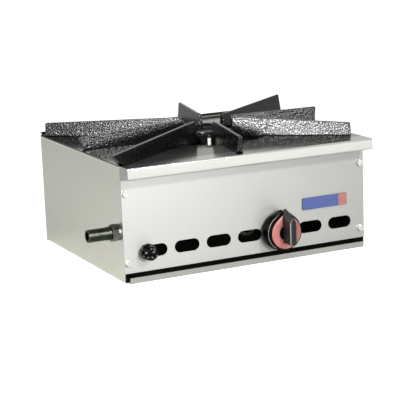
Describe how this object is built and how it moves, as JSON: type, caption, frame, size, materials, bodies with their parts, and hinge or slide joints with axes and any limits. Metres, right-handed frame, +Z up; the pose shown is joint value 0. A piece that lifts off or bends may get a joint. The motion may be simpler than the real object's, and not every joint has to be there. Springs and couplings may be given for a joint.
{
  "type": "single-burner gas stove",
  "caption": "Low counter-top gas stove: folded steel body, round burner under a cast grate of radial fingers, turn knob, push igniter, side gas inlet and slide-out drip tray.",
  "frame": {"origin": "centre of the bounding box in plan, on the surface that the stove stands on", "axes": "+X to the right along the front, +Y to the back, +Z up"},
  "size_m": [0.5065, 0.4172, 0.233],
  "materials": {
    "sheet_steel": "satin stainless sheet",
    "cast_iron": "mottled glossy enamel on cast iron",
    "black_enamel": "matt black enamel",
    "plated_steel": "zinc plated",
    "pipe_steel": "dark drawn steel",
    "brass": "turned",
    "black_plastic": "black moulded",
    "dark_chrome": "dark polished metal",
    "red_ring": "pink red insert",
    "ceramic": "glazed white ceramic",
    "red_rubber": "silicone sleeve",
    "badge_enamel": "plain blue and red enamel"
  },
  "bodies": {
    "stove": {"left_side_panel": "sheet_steel", "right_side_panel": "sheet_steel", "front_panel": "sheet_steel", "back_panel": "sheet_steel", "hob_top": "sheet_steel", "burner_body": "cast_iron", "burner_port_ring": "cast_iron", "burner_support_bar": "sheet_steel", "injector": "brass", "tap_body": "brass", "tap_gland_nut": "brass", "manifold_pipe": "pipe_steel", "manifold_plug": "pipe_steel", "manifold_bracket": "plated_steel", "inlet_nipple": "pipe_steel", "inlet_outer_nut": "pipe_steel", "inlet_inner_nut": "pipe_steel", "igniter_housing": "black_plastic", "igniter_nut": "plated_steel", "igniter_spring": "plated_steel", "spark_electrode": "ceramic", "electrode_clip": "plated_steel", "ignition_lead": "red_rubber", "badge_plate": "badge_enamel", "front_panel_screws": "plated_steel", "back_panel_screws": "plated_steel", "bar_screws": "plated_steel"},
    "tray": {"drip_tray": "sheet_steel"},
    "grate": {"grate": "cast_iron", "grate_hub": "cast_iron"},
    "cap": {"burner_cap": "black_enamel"},
    "shutter": {"air_shutter": "plated_steel"},
    "spindle_push": {"tap_thrust_washer": "plated_steel"},
    "control": {"tap_spindle": "plated_steel", "knob": "black_plastic", "knob_ring": "red_ring"},
    "button": {"igniter_button": "dark_chrome"}
  },
  "joints": [
    {"name": "tray_slide", "type": "slide", "parent": "stove", "child": "tray", "axis": [0, -1, 0], "range_m": [0, 0.3]},
    {"name": "grate_lift", "type": "slide", "parent": "stove", "child": "grate", "axis": [0, 0, 1], "range_m": [0, 0.12]},
    {"name": "cap_lift", "type": "slide", "parent": "stove", "child": "cap", "axis": [0, 0, 1], "range_m": [0, 0.08]},
    {"name": "air_shutter_turn", "type": "hinge", "parent": "stove", "child": "shutter", "pos_m": [0.07359, -0.06284, 0.051], "axis": [-0.337, 0.9415, 0], "range_deg": [0, 90]},
    {"name": "knob_push", "type": "slide", "parent": "stove", "child": "spindle_push", "axis": [0, 1, 0], "range_m": [0, 0.003], "stiffness_N_per_m": 800, "springref_m": -0.01},
    {"name": "knob_turn", "type": "hinge", "parent": "spindle_push", "child": "control", "pos_m": [0.08505, -0.17785, 0.051], "axis": [0, -1, 0], "range_deg": [0, 180]},
    {"name": "igniter_push", "type": "slide", "parent": "stove", "child": "button", "axis": [0, 1, 0], "range_m": [0, 0.005], "stiffness_N_per_m": 900, "springref_m": -0.012, "deforming": ["igniter_spring"]}
  ]
}
